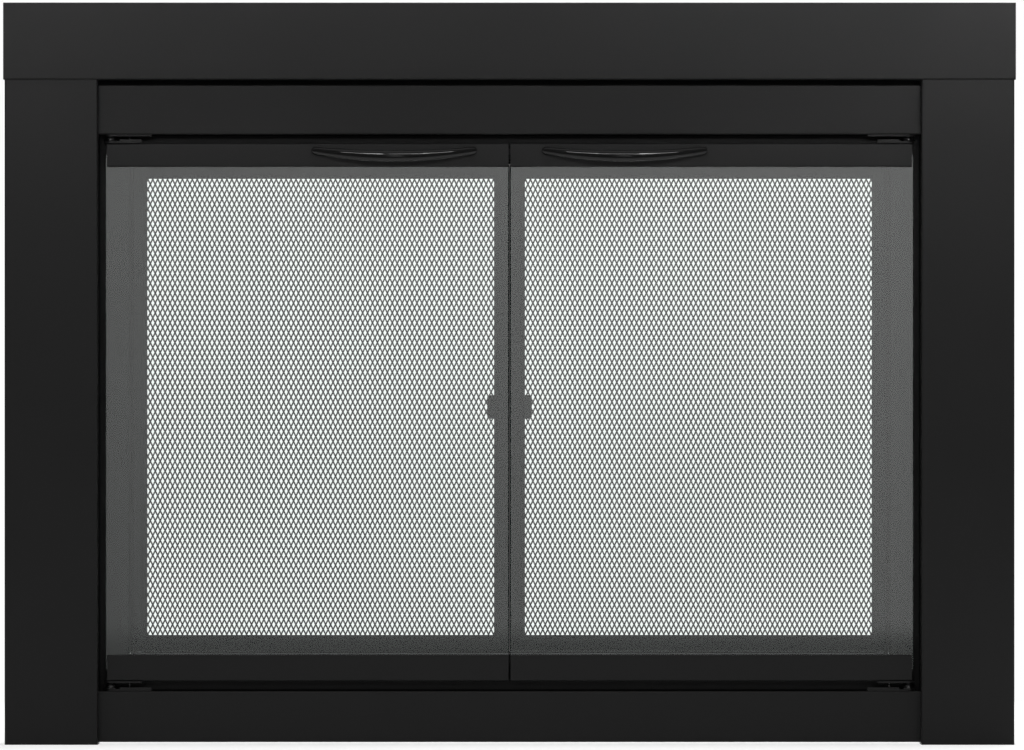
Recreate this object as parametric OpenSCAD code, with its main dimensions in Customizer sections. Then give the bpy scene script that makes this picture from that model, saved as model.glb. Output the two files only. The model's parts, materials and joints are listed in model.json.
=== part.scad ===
// Cabinet-style fireplace glass door: a folded sheet-steel surround, two glass doors hung
// on vertical pivots and, behind them, two framed mesh gates on pivots of their own.
//
// Axes: X runs to the right seen from the front, Y runs into the fireplace, Z is up.
// Depths are drawn from the facing plane (y = 0), where the surround bears on the fireplace:
// what is in front of it has a negative y. placed() then moves the whole object so that the
// origin is at the bottom centre of its bounding box. Sided pieces are drawn for the left
// (negative x) and mirrored for the right.

/* [Surround] */
// Width over the ends of the header
overall_w = 1105; // [900:1:1400]
// Height from the hearth to the top of the header
overall_h = 810; // [650:1:1100]
// Height of the header
header_h = 84; // [60:1:120]
// Depth of the header, out from the facing plane
header_d = 54; // [50:1:80]
// How far each end of the header passes its post
header_over = 1.5; // [0.5:0.5:20]
// Width of each post
post_w = 101.6; // [60:0.1:140]
// How far the posts stand back from the header's face
post_setback = 2; // [0.5:0.5:6]
// Height of the lintel panel
lintel_h = 54.5; // [40:0.5:90]
// Height of the sill panel
sill_h = 55.5; // [50:0.5:90]
// How far both panels stand back from the posts' faces
panel_recess = 16; // [6:0.5:20]
// Shadow gap between the header and the lintel panel
lintel_gap = 5; // [3:0.5:12]
// How far the sill panel clears the hearth
sill_lift = 2.5; // [1:0.5:6]

/* [Sheet metal] */
// Thickness of the folded sheet
sheet_t = 1.2; // [0.8:0.1:1.6]
// Inner radius of a bend
bend_r = 0.8; // [0.4:0.1:1]
// Width of the flanges that bear on the fireplace facing
flange_w = 15; // [12:1:25]

/* [Stop frame behind the doors] */
// Depth of the stop frame, from the facing plane to its face
stop_d = 15.2; // [14:0.1:18]
// Width of the side stops
side_stop_w = 33.9; // [24:0.1:50]
// Height of the top stop, below the lintel panel
top_stop_h = 29.2; // [24:0.1:50]
// Height of the bottom stop, above the sill panel
bottom_stop_h = 40.5; // [24:0.1:60]

/* [Glass doors] */
// How far the doors' faces stand back from the header's face
door_setback = 22; // [19:0.5:24]
// Thickness of the glass
glass_t = 5; // [4:0.5:6]
// Height of the top rails
top_rail_h = 26; // [24:0.5:40]
// Height of the bottom rails
bottom_rail_h = 28.6; // [24:0.1:40]
// From a rail's outer edge to the edge of the glass inside it
glass_edge = 12.5; // [12:0.1:14]
// Gap between a door and its post
door_side_gap = 8; // [6:0.5:14]
// Gap between the two doors
door_mid_gap = 2.2; // [1.5:0.1:6]
// Gap above the doors
door_top_gap = 9.5; // [8:0.1:16]
// Gap below the doors
door_bottom_gap = 11; // [8:0.1:16]
// How far the rails stop short of the glass at the hinge side
rail_inset = 1.5; // [0:0.1:1.8]
// Thickness of the gaskets between glass and steel
gasket_t = 1.5; // [1:0.1:2]
// Thickness of the strips that clamp the glass
clamp_t = 1.5; // [1.2:0.1:2]
// Screws in each clamp strip
clamp_screws_n = 5; // [3:1:6]

/* [Door pivots] */
// From a door's hinge edge to its pivot axis
pivot_inset = 5.4; // [5.4:0.1:12]
// Radius of the pivot bolts
pivot_r = 2.5; // [2:0.1:2.6]
// Radial clearance of what turns in a plate's hole
pivot_fit = 0.05; // [0.02:0.01:0.1]
// Length of the plates on the doors, from the axis
door_plate_l = 34; // [30:1:60]
// Length of the plates on the surround, from the axis
frame_plate_l = 45; // [36:1:80]
// Thickness of the pivot plates
plate_t = 2.2; // [2:0.1:2.5]
// Height of the lip on the lower plate of each pair
plate_lip_h = 4.2; // [3:0.1:5]

/* [Handles] */
// Length of a handle
handle_l = 181; // [120:1:220]
// From the object's middle to a handle's middle
handle_x = 126; // [115:1:200]
// From a door's top edge down to the middle of the handle's ends
handle_drop = 8.1; // [7.6:0.1:8.2]
// Height of the handle at its middle
handle_mid_h = 12; // [9:0.5:16]
// Height of the handle at its ends
handle_end_h = 8.2; // [7:0.1:10]
// How far the top edge sags between the ends
handle_sag = 4.5; // [2:0.5:8]
// Thickness of the bar
handle_t = 6; // [5:0.5:8]
// How far the handle stands out from the rail
handle_out = 24; // [18:0.5:32]

/* [Mesh gates] */
// Gap between a gate and the stop frame, at its top and side
gate_gap = 3.5; // [2.5:0.1:6]
// Gap between a gate and the bottom stop
gate_foot_gap = 3; // [1.5:0.1:5]
// Gap between the two gates
gate_mid_gap = 0.6; // [0.4:0.1:3]
// How much of that gap is open to the eye, past the slant of the meeting sides
gate_sight_gap = 0.1; // [0.1:0.1:0.4]
// Thickness of the gate frames
gate_t = 8; // [7.5:0.5:9]
// Thickness of the gate frames' sheet
gate_sheet_t = 1; // [0.8:0.1:1.2]
// Width of a gate frame's sides and top, with the ledge
gate_side_w = 15.5; // [14:0.5:30]
// Width of a gate frame's meeting side, with the ledge
gate_meet_w = 16.6; // [14:0.1:30]
// Width of a gate frame's bottom, with the ledge
gate_bottom_w = 17.5; // [14:0.5:30]
// Width of the ledge that carries the mesh
ledge_w = 5; // [4:0.5:6]
// From a gate's outer edge to its pivot axis
gate_pivot_inset = 6; // [5:0.5:6.5]
// Thickness of the mesh
mesh_t = 1; // [0.8:0.1:1.5]
// Width of one real mesh opening
mesh_pitch = 5.43; // [4:0.01:10]
// Height of a mesh opening for each unit of its width
mesh_slope = 2; // [1:0.1:3]
// Real openings that one modelled opening stands for, each way
mesh_coarse = 5; // [4:1:10]
// Width of the modelled mesh's strands
strand_w = 3; // [1:0.1:4]
// Height of the finger pulls
pull_h = 26; // [15:1:40]
// How far a finger pull reaches over the mesh
pull_reach = 7.5; // [5:0.5:12]

/* [Mounting] */
// Height of the hearth brackets
hearth_bracket_h = 52; // [35:1:120]
// Radius of the anchor hole in a hearth bracket
anchor_r = 3.25; // [2.5:0.25:4]
// Distance between the two lintel clamps
clamp_spacing = 560; // [300:10:740]
// Reach of the brackets behind the facing plane
bracket_l = 60; // [50:1:100]
// Thickness of the mounting brackets
bracket_t = 3; // [2:0.5:4]

/* [Hidden] */

LEFT = 0;
RIGHT = 1;

satin_black = [0.13, 0.13, 0.13];
matt_black = [0.09, 0.09, 0.09];
gloss_black = [0.04, 0.04, 0.04];
zinc = [0.62, 0.63, 0.65];
dark_steel = [0.2, 0.2, 0.21];
rope_grey = [0.45, 0.45, 0.44];
magnet_grey = [0.3, 0.3, 0.32];
tinted_glass = [0.55, 0.62, 0.58, 0.35];

$fn = 48;
bend_steps = 4;     // straight steps in a drawn bend
weld = 0.6;         // how far a folded-in end tab is sunk into the sheet around it
end_gap = 0.2;      // gap at the ends of a piece that is put in between two others
hole_fit = 0.15;    // extra radius of a screw's hole
thread_fit = 0.05;  // gap round a thread in its nut or blind hole
thrust_gap = 0.2;   // play above a bush and below a gate pin's collar
swing_gap = 0.3;    // least gap above and below a swinging gate
cut_past = 1;       // how far a cutting shape passes the metal that it cuts

// Heights
header_z = overall_h - header_h;
lintel_top_z = header_z - lintel_gap;
lintel_z = lintel_top_z - lintel_h;
sill_z = sill_lift + sill_h;
top_stop_z = lintel_z - top_stop_h;
bottom_stop_z = sill_z + bottom_stop_h;
door_top_z = lintel_z - door_top_gap;
door_z = sill_z + door_bottom_gap;
glass_top_z = door_top_z - glass_edge;
glass_z = door_z + glass_edge;
handle_z = door_top_z - handle_drop;
gate_top_z = top_stop_z - gate_gap;
gate_z = bottom_stop_z + gate_foot_gap;

// Half widths
post_out_x = overall_w / 2 - header_over;
post_in_x = post_out_x - post_w;
stop_in_x = post_in_x - side_stop_w;
glass_out_x = post_in_x - door_side_gap;
rail_out_x = glass_out_x - rail_inset;
door_in_x = door_mid_gap / 2;
pivot_x = glass_out_x - pivot_inset;
gate_out_x = stop_in_x - gate_gap;
gate_in_x = gate_mid_gap / 2;
gate_axis_x = gate_out_x - gate_pivot_inset;

// Depths of front faces
gate_recess = 1.5;      // from the back of the stops' sheet to a gate's face
mesh_recess = 0.5;      // from a gate's face to its mesh
header_y = -header_d;
post_y = header_y + post_setback;
panel_y = post_y + panel_recess;
door_y = header_y + door_setback;
glass_y = door_y + sheet_t + gasket_t;
clamp_y = glass_y + glass_t + gasket_t;
door_back_y = clamp_y + clamp_t;
pivot_y = glass_y + glass_t / 2;
stop_y = -stop_d;
gate_y = stop_y + sheet_t + gate_recess;
gate_axis_y = gate_y + (gate_t + gate_sheet_t) / 2;
gate_rear_y = gate_y + gate_t;
ledge_y = gate_y + mesh_t + mesh_recess;

// The whole object reaches from the handles, or the header, to the ends of the brackets
front_y = min(door_y - handle_out, header_y);
shift_y = -(front_y + bracket_l) / 2;

// Fasteners: [shank radius, head radius, head height]
sheet_screw = [1.75, 3.5, 2];
flush_screw = [1.6, 3, 1.4];
shank_l = 7;
panel_screw_at = [0.3, 0.7];     // shares of a panel's height, for the screws through its ends
bracket_screw_at = [0.4, 0.8];   // shares of a mounting or post bracket's leg
frame_plate_screw_at = [0.4, 0.82];  // shares of the length of a plate on the surround
door_plate_screw_at = [0.45, 0.82];  // and of one on a door
side_stop_screw_at = [1/6, 1/2, 5/6];
hem_screw_at = [-0.75, -0.25, 0.25, 0.75];
frame_plate_screw_past = 4;      // how far the plates' screws pass them, on the surround
door_plate_screw_past = 2.5;     // and on the doors
bracket_screw_past = 6;          // how far a mounting bracket's screws pass it
catch_screw_past = 3;            // how far the catch's screw passes the top stop's face

// Surround
end_tab_d = 26;                  // depth of the folded ends of the panels
end_screw_y = panel_y + 14;      // depth of the screws through them
stop_screw_y = -stop_d / 2;
hem_h = 12;                      // upturned hem behind the header's underside
hem_y = -6;                      // rear face of the hem, which the lintel panel meets
upstand_h = hem_h + 1;
panel_flange_w = flange_w + 5;   // the panels' own flanges are wider than the rest
stop_screw_share = 0.72;         // of the half width out to the last screw of a stop
post_bracket_w = 34;
post_bracket_l = 62;
post_bracket_t = 1.5;
post_bracket_y = end_screw_y - post_bracket_w / 2;

// Rear lips of the stops, which shade the gaps round the gates
side_lip_behind = 0.8;           // gap behind a shut gate
side_lip_beside = 1;             // gap beside a gate's corner as it swings
side_lip_end = 1;                // from the end of a side lip to the other stops
side_lip_y = gate_rear_y + side_lip_behind;
side_lip_x = gate_axis_x + gate_rear_y - gate_axis_y + side_lip_beside;
top_lip_z = gate_top_z + swing_gap;
foot_lip_z = gate_z - swing_gap;

// Doors
lip_l = 2.4;                     // inward lip along the glass side of a rail
strip_end = 4;                   // how far the strips stop short of the rail's ends
strip_edge = 3;                  // how far they stop short of its glass side
clamp_screw_edge = 6;            // from a rail's outer edge to the line of screws
clamp_screw_first = 15;          // from the hinge end to the first screw
clamp_screw_last = 60;           // from the object's middle to the last one

// Pivots
tab_r = 7;                       // radius of a plate's round end
tab_steps = 12;
lip_start = 10;                  // from the axis to the start of a plate's lip
bush_r = 8;
bush_shoulder_r = 6.2;
bush_neck_r = 3.4;
bush_brim_h = 1.3;
bell_steps = 6;
bolt_head_r = 3.6;
bolt_head_h = 1.8;
bolt_past = 3;                   // how far a bolt passes the plate that it turns in
turning_bolt_room = 1;           // round a door's bolt in the lintel panel
still_bolt_room = 0.5;           // round a lower bolt in a bottom rail, which turns on it
gate_pin_r = 2;
gate_pin_head = [3, 1.5];        // radius and height
gate_pin_collar_r = 3.5;
gate_pin_past = 2.5;

// Handles
handle_foot_x = handle_l / 2 - 7;
handle_foot_r = 4;
handle_foot_l = 1.8;             // length of a foot that its screw is sure to pass
handle_wall = 2;                 // metal left in front of a handle's screw hole
blind_hole_end = 0.3;            // of a handle's screw hole, past the screw
outline_steps = 16;
round_end_steps = 8;

// Catch between the two doors
catch_w = 52;
catch_h = 15;
catch_lift = 3;                  // over the top stop's lower edge
catch_air = 0.2;                 // between the magnets and the doors' clamp strips
magnet_w = 18;
magnet_t = 3;
magnet_h = 10;
magnet_end = 3;                  // from the catch's end to a magnet
magnet_proud = 0.2;
catch_z = top_stop_z + catch_lift;
catch_y = door_back_y + catch_air + magnet_proud;

// Finger pulls
pull_t = 1.2;
pull_base_w = 5.5;
pull_seat = 1.8;                 // from the ledge's edge in to the fold
pull_step = 4.2;                 // how far the lip stands in front of the gate's face
pull_corner_r = 3;
corner_steps = 6;

// Mounting brackets
clamp_w = 25;
clamp_leg_h = 17;
clamp_lift = 1.5;                // of the arm over the lintel panel's underside
lintel_clamp_screw_h = 12;       // of the clamps' screws over the lintel panel's underside
clamp_bolt_r = 4;
clamp_bolt_y = bracket_l - 15;
clamp_bolt_below = 22;
clamp_bolt_above = 34;
hex_r = 7.5;
hex_h = 5.5;
hearth_x = post_in_x + flange_w / 2;
anchor_y = bracket_l - 22;

// ---------------------------------------------------------------- helpers

module placed(side = LEFT)
    translate([0, shift_y, 0]) {
        if (side == LEFT) children();
        else mirror([1, 0, 0]) children();
    }

// Draws the children on the left and again, mirrored, on the right
module both_sides() {
    children();
    mirror([1, 0, 0]) children();
}

module box(low, high) translate(low) cube(high - low);

// A flat outline in (y, z), run from x0 to x1
module along_x(x0, x1)
    translate([x0, 0, 0]) rotate([90, 0, 90]) linear_extrude(x1 - x0) children();

// A flat outline in (x, z), run from y0 to y1
module along_y(y0, y1)
    translate([0, y1, 0]) rotate([90, 0, 0]) linear_extrude(y1 - y0) children();

// A flat outline in (x, y), run from z0 to z1
module along_z(z0, z1) translate([0, 0, z0]) linear_extrude(z1 - z0) children();

function unit(v) = v / norm(v);
function left_of(u) = [-u[1], u[0]];
function turns_left(u, w) = u[0] * w[1] - u[1] * w[0] > 0;
function reversed(v) = [for (i = [len(v) - 1 : -1 : 0]) v[i]];

// Points on the circle of radius r round c, from angle a0 to a1
function arc(c, r, a0, a1, steps) =
    [for (i = [0 : steps]) let (a = a0 + (a1 - a0) * i / steps) c + r * [cos(a), sin(a)]];

// The arc of one right-angled bend, in along u and out along w
function bend(corner, u, w, r) = [
    for (i = [0 : bend_steps])
        let (a = 90 * i / bend_steps)
        corner + r * (w - u) - r * cos(a) * w + r * sin(a) * u
];

// One skin of a folded sheet, a distance off to the left of the path
function skin(path, off, r_left, r_right) =
    let (last = len(path) - 1) [
        for (i = [0 : last])
            let (
                u = unit(path[max(i, 1)] - path[max(i, 1) - 1]),
                w = unit(path[min(i, last - 1) + 1] - path[min(i, last - 1)]),
                is_end = i == 0 || i == last,
                point = path[i] + off * (is_end ? left_of(u) : left_of(u) + left_of(w))
            )
            each is_end ? [point] : bend(point, u, w, turns_left(u, w) ? r_left : r_right)
    ];

// Section of a sheet of thickness t, folded at right angles, on the left of its path
function folded(path, t = sheet_t, r = bend_r) =
    concat(skin(path, 0, r + t, r), reversed(skin(path, t, r, r + t)));

// A screw whose head sits on z = 0 with the shank below
module screw(size, shank_l) {
    cylinder(r = size[1], h = size[2]);
    translate([0, 0, -shank_l]) cylinder(r = size[0], h = shank_l + size[2] / 2);
}

// A countersunk screw, flush with z = 0
module flush_head_screw(size, shank_l) {
    translate([0, 0, -size[2]]) cylinder(r1 = size[0], r2 = size[1], h = size[2]);
    translate([0, 0, -shank_l]) cylinder(r = size[0], h = shank_l - size[2] / 2);
}

// Its hole, open above and below
module flush_head_hole(size) {
    translate([0, 0, -size[2]])
        cylinder(r1 = size[0] + hole_fit, r2 = size[1] + hole_fit, h = size[2]);
    drill(size[0] + hole_fit);
    cylinder(r = size[1] + hole_fit, h = size[2]);
}

module drill(r = sheet_screw[0] + hole_fit, reach = 5)
    translate([0, 0, -reach]) cylinder(r = r, h = 2 * reach);

// These turn a screw drawn with its head up
module head_inward() rotate([0, 90, 0]) children();
module head_outward() rotate([0, -90, 0]) children();
module head_to_front() rotate([90, 0, 0]) children();
module head_to_back() rotate([-90, 0, 0]) children();
module head_down() rotate([180, 0, 0]) children();

// ---------------------------------------------------------------- places of the screws

// From inside the left post, through its inner side into the sill panel's end
module at_sill_end_screws()
    for (k = panel_screw_at)
        translate([-post_in_x - sheet_t, end_screw_y, sill_lift + sill_h * k])
            head_outward() children();

// The same through the post bracket into the lintel panel's end
module at_lintel_end_screws()
    for (k = panel_screw_at)
        translate([-post_in_x - sheet_t - post_bracket_t, end_screw_y, lintel_z + lintel_h * k])
            head_outward() children();

// Up through the left post bracket into the header
module at_header_screws()
    for (k = bracket_screw_at)
        translate([-post_in_x - sheet_t - post_bracket_l * k, end_screw_y,
                   header_z - post_bracket_t])
            head_down() children();

// Through the left side stop into the left post
module at_side_stop_screws()
    for (k = side_stop_screw_at)
        translate([-post_in_x + sheet_t, stop_screw_y, sill_z + (lintel_z - sill_z) * k])
            head_inward() children();

// Through the top stop into the lintel panel, and through the bottom stop into the sill panel
module at_top_stop_screws()
    for (k = [-1, 0, 1])
        translate([k * stop_screw_share * stop_in_x, stop_screw_y, lintel_z - sheet_t])
            head_down() children();

module at_bottom_stop_screws()
    for (k = [-1, 0, 1])
        translate([k * stop_screw_share * stop_in_x, stop_screw_y, sill_z + sheet_t]) children();

// From behind, through the lintel panel's upstand into the header's hem
module at_hem_screws()
    for (k = hem_screw_at)
        translate([k * post_in_x, hem_y + sheet_t, header_z + hem_h / 2])
            head_to_back() children();

// Through the pivot brackets on the left
module at_pivot_bracket_screws(z)
    for (k = frame_plate_screw_at)
        translate([-pivot_x + frame_plate_l * k, pivot_y, z]) children();

// Through the hinge plates of the left door
module at_hinge_plate_screws(z)
    for (k = door_plate_screw_at)
        translate([-pivot_x + door_plate_l * k, pivot_y, z]) children();

// Through a bracket that stands behind a flange: side by side, or one above the other
module at_lintel_clamp_screws()
    for (k = [-1, 1])
        translate([-clamp_spacing / 2 + k * clamp_w / 4, bracket_t, lintel_z + lintel_clamp_screw_h])
            head_to_back() children();

module at_hearth_bracket_screws()
    for (k = bracket_screw_at)
        translate([-hearth_x, bracket_t, hearth_bracket_h * k]) head_to_back() children();

module at_catch_screw()
    translate([0, catch_y + flush_screw[2], catch_z + catch_h / 2]) head_to_front() children();

// ---------------------------------------------------------------- surround

module header() {
    path = [[0, overall_h - flange_w], [0, overall_h], [header_y, overall_h],
            [header_y, header_z], [hem_y, header_z], [hem_y, header_z + hem_h]];
    color(satin_black) placed() difference() {
        union() {
            along_x(-overall_w / 2, overall_w / 2) polygon(folded(path));
            both_sides()
                box([-overall_w / 2, header_y + weld, header_z + weld],
                    [-overall_w / 2 + sheet_t, -weld, overall_h - weld]);
        }
        both_sides() at_header_screws() drill();
        at_hem_screws() drill();
    }
}

module post(side) {
    path = [[-post_out_x + flange_w, 0], [-post_out_x, 0], [-post_out_x, post_y],
            [-post_in_x, post_y], [-post_in_x, 0], [-post_in_x - flange_w, 0]];
    color(satin_black) placed(side) difference() {
        union() {
            along_z(0, header_z) polygon(folded(path));
            box([-post_out_x + weld, post_y + weld, 0], [-post_in_x - weld, -weld, sheet_t]);
        }
        at_sill_end_screws() drill();
        at_lintel_end_screws() drill();
        at_side_stop_screws() drill();
        at_hearth_bracket_screws() drill();
    }
}

// The folded ends of a panel, which the posts' screws hold
module panel_ends(z0, z1)
    both_sides()
        box([-post_in_x, panel_y + weld, z0 + weld],
            [-post_in_x + sheet_t, panel_y + end_tab_d, z1 - weld]);

module lintel_panel() {
    path = [[hem_y, header_z + upstand_h], [hem_y, lintel_top_z], [panel_y, lintel_top_z],
            [panel_y, lintel_z], [0, lintel_z], [0, lintel_z + panel_flange_w]];
    color(satin_black) placed() difference() {
        union() {
            along_x(-post_in_x, post_in_x) polygon(folded(path));
            panel_ends(lintel_z, lintel_top_z);
        }
        both_sides() {
            at_lintel_end_screws() drill();
            translate([-pivot_x, pivot_y, lintel_z]) drill(pivot_r + turning_bolt_room);
            at_pivot_bracket_screws(lintel_z) drill(flush_screw[0] + hole_fit);
            at_lintel_clamp_screws() drill();
        }
        at_hem_screws() drill();
        at_top_stop_screws() drill();
    }
}

module sill_panel() {
    back_y = panel_y + end_tab_d;
    path = [[0, sill_z - panel_flange_w], [0, sill_z], [panel_y, sill_z],
            [panel_y, sill_lift], [back_y, sill_lift], [back_y, sill_lift + hem_h]];
    color(satin_black) placed() difference() {
        union() {
            along_x(-post_in_x, post_in_x) polygon(folded(path));
            panel_ends(sill_lift, sill_z);
        }
        both_sides() {
            at_sill_end_screws() drill();
            translate([-pivot_x, pivot_y, sill_z]) drill(pivot_r + hole_fit);
            at_pivot_bracket_screws(sill_z) drill(flush_screw[0] + hole_fit);
        }
        at_bottom_stop_screws() drill();
    }
}

// Channel beside a gate. Its rear lip ends short of the other two stops.
module side_stop(side) {
    path = [[-post_in_x, 0], [-post_in_x, stop_y], [-stop_in_x, stop_y],
            [-stop_in_x, side_lip_y], [-side_lip_x, side_lip_y]];
    color(matt_black) placed(side) difference() {
        along_z(sill_z, lintel_z) polygon(folded(path));
        for (z = [[sill_z - cut_past, bottom_stop_z + side_lip_end],
                  [top_stop_z - side_lip_end, lintel_z + cut_past]])
            box([-stop_in_x, stop_y, z[0]], [-side_lip_x + cut_past, 0, z[1]]);
        at_side_stop_screws() drill();
    }
}

// The holes in which the gates' pins turn
module gate_pin_holes(z)
    both_sides()
        translate([-gate_axis_x, gate_axis_y, z]) drill(gate_pin_r + pivot_fit, 2 * sheet_t);

module top_stop() {
    path = [[0, lintel_z], [stop_y, lintel_z], [stop_y, top_stop_z],
            [-sheet_t, top_stop_z], [-sheet_t, top_lip_z]];
    color(matt_black) placed() difference() {
        along_x(-stop_in_x + end_gap, stop_in_x - end_gap) polygon(folded(path));
        at_top_stop_screws() drill();
        gate_pin_holes(top_stop_z);
        at_catch_screw() drill(flush_screw[0] + hole_fit, catch_h);
    }
}

module bottom_stop() {
    path = [[-sheet_t, foot_lip_z], [-sheet_t, bottom_stop_z], [stop_y, bottom_stop_z],
            [stop_y, sill_z], [0, sill_z]];
    color(matt_black) placed() difference() {
        along_x(-stop_in_x + end_gap, stop_in_x - end_gap) polygon(folded(path));
        at_bottom_stop_screws() drill();
        gate_pin_holes(bottom_stop_z);
    }
}

// Angle that ties the top of a post to the header's underside and to the lintel panel's end
module post_bracket(side) {
    x = -post_in_x - sheet_t;
    path = [[x, header_z - post_bracket_l], [x, header_z], [x - post_bracket_l, header_z]];
    color(zinc) placed(side) difference() {
        along_y(post_bracket_y, post_bracket_y + post_bracket_w)
            polygon(folded(path, post_bracket_t));
        at_header_screws() drill();
        at_lintel_end_screws() drill();
    }
}

module frame_screws()
    color(zinc) placed() {
        both_sides() {
            at_sill_end_screws() screw(sheet_screw, shank_l);
            at_lintel_end_screws() screw(sheet_screw, shank_l);
            at_header_screws() screw(sheet_screw, shank_l);
            at_side_stop_screws() screw(sheet_screw, shank_l);
        }
        at_top_stop_screws() screw(sheet_screw, shank_l);
        at_bottom_stop_screws() screw(sheet_screw, shank_l);
        at_hem_screws() screw(sheet_screw, shank_l);
    }

// ---------------------------------------------------------------- pivots

// A plate with one round end on the pivot axis, lying on z0, with an upturned lip if asked
module pivot_plate(z0, length, lip, hole_r) {
    axis = [-pivot_x, pivot_y];
    end_x = axis[0] + length;
    difference() {
        union() {
            along_z(z0, z0 + plate_t)
                polygon(concat(arc(axis, tab_r, 90, 270, tab_steps),
                               [[end_x, axis[1] - tab_r], [end_x, axis[1] + tab_r]]));
            if (lip)
                box([axis[0] + lip_start, axis[1] - tab_r, z0],
                    [end_x, axis[1] - tab_r + sheet_t, z0 + plate_lip_h]);
        }
        translate([axis[0], axis[1], z0]) drill(hole_r);
    }
}

module top_pivot_bracket(side) {
    z = lintel_z - plate_t;
    color(satin_black) placed(side) difference() {
        pivot_plate(z, frame_plate_l, false, pivot_r + pivot_fit);
        at_pivot_bracket_screws(z) head_down() flush_head_hole(flush_screw);
    }
}

module bottom_pivot_bracket(side)
    color(satin_black) placed(side) difference() {
        pivot_plate(sill_z, frame_plate_l, true, pivot_r + hole_fit);
        at_pivot_bracket_screws(sill_z + plate_t) flush_head_hole(flush_screw);
    }

module pivot_bracket_screws() {
    screw_l = plate_t + frame_plate_screw_past;
    color(zinc) placed() both_sides() {
        at_pivot_bracket_screws(lintel_z - plate_t)
            head_down() flush_head_screw(flush_screw, screw_l);
        at_pivot_bracket_screws(sill_z + plate_t) flush_head_screw(flush_screw, screw_l);
    }
}

// A bolt up the pivot axis, its head below z0 and its tip at z1
module pivot_bolt(z0, z1)
    translate([-pivot_x, pivot_y, 0]) {
        translate([0, 0, z0 - bolt_head_h]) cylinder(r = bolt_head_r, h = bolt_head_h);
        translate([0, 0, z0 - bolt_head_h / 2])
            cylinder(r = pivot_r, h = z1 - z0 + bolt_head_h / 2);
    }

// A bell-shaped bush on the pivot axis, from z0 up to z1
module pivot_bush(z0, z1) {
    h = z1 - z0;
    bell = [for (i = [0 : bell_steps])
        let (k = i / bell_steps)
        [bush_neck_r + (bush_shoulder_r - bush_neck_r) * cos(90 * k),
         bush_brim_h + (h - bush_brim_h) * sin(90 * k)]];
    bore = pivot_r + thread_fit;
    translate([-pivot_x, pivot_y, z0])
        rotate_extrude()
            polygon(concat([[bore, 0], [bush_r, 0], [bush_r, bush_brim_h]], bell, [[bore, h]]));
}

module lower_pivot_bolts()
    color(zinc) placed() both_sides()
        pivot_bolt(sill_z - sheet_t, door_z + sheet_t + bolt_past);

module lower_pivot_bushes()
    color(gloss_black) placed() both_sides()
        pivot_bush(sill_z + plate_t, door_z - plate_t - thrust_gap);

// ---------------------------------------------------------------- catch and mounting

module magnet_catch() {
    z1 = catch_z + catch_h;
    color(gloss_black) placed() difference() {
        box([-catch_w / 2, catch_y, catch_z], [catch_w / 2, stop_y, z1]);
        both_sides() catch_magnet(thread_fit);
        at_catch_screw() flush_head_hole(flush_screw);
        at_catch_screw() drill(flush_screw[0] + hole_fit, catch_h);
        at_catch_screw() cylinder(r = flush_screw[1] + hole_fit, h = 2 * flush_screw[2]);
    }
}

// The magnet that holds the left door, with play round it for its pocket
module catch_magnet(play = 0) {
    x = -catch_w / 2 + magnet_end;
    z = catch_z + (catch_h - magnet_h) / 2;
    y = door_back_y + catch_air;
    box([x - play, y, z - play], [x + magnet_w + play, y + magnet_t, z + magnet_h + play]);
}

module catch_magnets() color(magnet_grey) placed() both_sides() catch_magnet();

// Arm behind the lintel panel, whose bolt presses up against the fireplace's own lintel
module lintel_clamp(side) {
    x = -clamp_spacing / 2;
    z = lintel_z + clamp_lift;
    path = [[0, z + clamp_leg_h], [0, z], [bracket_l, z]];
    color(zinc) placed(side) difference() {
        along_x(x - clamp_w / 2, x + clamp_w / 2) polygon(folded(path, bracket_t));
        at_lintel_clamp_screws() drill();
        translate([x, clamp_bolt_y, z]) drill(clamp_bolt_r + hole_fit);
    }
}

module clamp_bolts()
    color(zinc) placed() both_sides()
        translate([-clamp_spacing / 2, clamp_bolt_y, lintel_z - clamp_bolt_below]) {
            translate([0, 0, -hex_h]) cylinder(r = hex_r, h = hex_h, $fn = 6);
            translate([0, 0, -hex_h / 2])
                cylinder(r = clamp_bolt_r, h = clamp_bolt_below + clamp_bolt_above + hex_h / 2);
        }

module clamp_nuts()
    color(zinc) placed() both_sides()
        translate([-clamp_spacing / 2, clamp_bolt_y, lintel_z + clamp_lift + bracket_t])
            difference() {
                cylinder(r = hex_r, h = hex_h, $fn = 6);
                drill(clamp_bolt_r + thread_fit, 2 * hex_h);
            }

// Angle that anchors a post to the hearth, as wide as the flange that it stands behind
module hearth_bracket(side) {
    path = [[0, hearth_bracket_h], [0, 0], [bracket_l, 0]];
    color(zinc) placed(side) difference() {
        along_x(-hearth_x - flange_w / 2, -hearth_x + flange_w / 2)
            polygon(folded(path, bracket_t));
        at_hearth_bracket_screws() drill();
        translate([-hearth_x, anchor_y, 0]) drill(anchor_r);
    }
}

module bracket_screws()
    color(zinc) placed() {
        both_sides() {
            at_lintel_clamp_screws() screw(sheet_screw, bracket_t + bracket_screw_past);
            at_hearth_bracket_screws() screw(sheet_screw, bracket_t + bracket_screw_past);
        }
        at_catch_screw() flush_head_screw(flush_screw, stop_y - catch_y + catch_screw_past);
    }

// ---------------------------------------------------------------- glass doors

module at_clamp_screws(z) {
    first = -rail_out_x + clamp_screw_first;
    step = (-clamp_screw_last - first) / (clamp_screws_n - 1);
    for (i = [0 : clamp_screws_n - 1])
        translate([first + i * step, door_back_y, z]) head_to_back() children();
}

module at_all_clamp_screws() {
    at_clamp_screws(door_top_z - clamp_screw_edge) children();
    at_clamp_screws(door_z + clamp_screw_edge) children();
}

module at_handle_screws()
    for (k = [-1, 1])
        translate([-handle_x + k * handle_foot_x, door_y + sheet_t, handle_z])
            head_to_back() children();

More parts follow.
